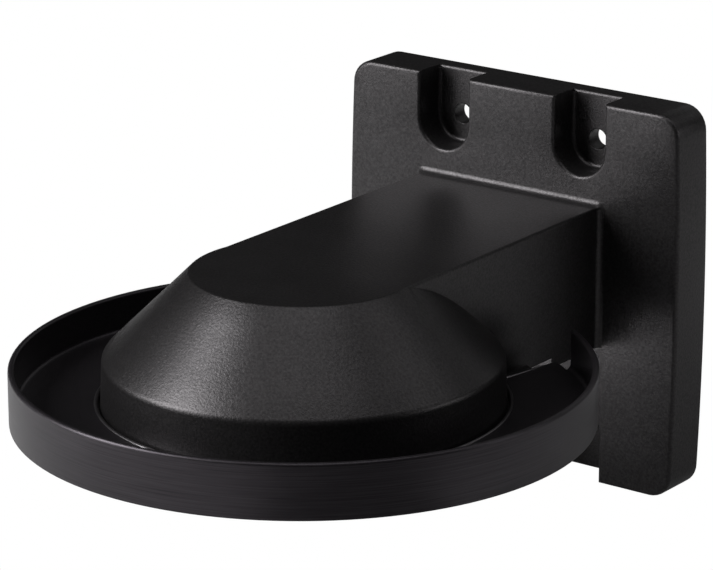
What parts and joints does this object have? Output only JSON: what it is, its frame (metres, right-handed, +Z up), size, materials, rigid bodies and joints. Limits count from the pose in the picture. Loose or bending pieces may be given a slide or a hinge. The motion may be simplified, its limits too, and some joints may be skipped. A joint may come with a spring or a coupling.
{
  "type": "wall bracket with round dish",
  "caption": "Black cast wall bracket: plate with open screw recesses, flat arm and cone over a shallow round dish, with a twist-lock adapter plate under it.",
  "frame": {"origin": "on the wall, in the middle of the four wall-screw holes", "axes": "+Z up, +Y into the wall, +X to the right when facing the wall plate"},
  "size_m": [0.16, 0.193, 0.1137],
  "materials": {
    "powder_coat": "die cast, with a fine-grained satin black powder coat",
    "brushed_black": "brushed and black anodised",
    "plate_coat": "satin black on pressed steel",
    "steel": "zinc plated",
    "brass": "plated",
    "nylon": "moulded",
    "seal_rubber": "matt",
    "gasket_foam": "closed-cell foam",
    "wire_steel": "stranded",
    "ferrule_aluminium": "crimped"
  },
  "bodies": {
    "bracket": {"bracket_casting": "powder_coat", "wall_gasket": "gasket_foam", "earth_screw": "steel", "earth_washer": "brass", "cable_saddle": "nylon", "saddle_screws": "steel", "conduit_plug": "nylon", "conduit_seal": "seal_rubber", "dish_tray": "brushed_black", "tray_standoffs": "steel", "tray_screws": "steel", "tray_washers": "steel", "adapter_seal": "seal_rubber", "shoulder_screws": "steel", "lanyard_screw": "steel", "lanyard_wire": "wire_steel", "lanyard_ferrules": "ferrule_aluminium", "hook_body": "steel", "gate_pin": "steel"},
    "adapter": {"adapter_plate": "plate_coat", "adapter_nuts": "steel", "cable_grommet": "seal_rubber"},
    "lock_washer": {"lock_washer": "steel"},
    "lock_screw": {"lock_screw": "steel"},
    "gate": {"hook_gate": "steel"}
  },
  "joints": [
    {"name": "adapter_twist", "type": "hinge", "parent": "bracket", "child": "adapter", "pos_m": [0, -0.113, -0.0144], "axis": [0, 0, 1], "range_deg": [0, 18]},
    {"name": "lock_screw_lower", "type": "slide", "parent": "bracket", "child": "lock_washer", "axis": [0, 0, -1], "range_m": [0, 0.0014]},
    {"name": "lock_screw_turn", "type": "hinge", "parent": "lock_washer", "child": "lock_screw", "pos_m": [0, -0.1608, -0.0147], "axis": [0, 0, -1], "range_deg": [0, 720.2]},
    {"name": "gate_swing", "type": "hinge", "parent": "bracket", "child": "gate", "pos_m": [0.03455, -0.11542, -0.0056], "axis": [0.9659, -0.2588, 0], "range_deg": [0, 35]}
  ],
  "couplings": [
    {"joint": "lock_screw_turn", "follows": "lock_screw_lower", "rad_per_m": 8976}
  ]
}
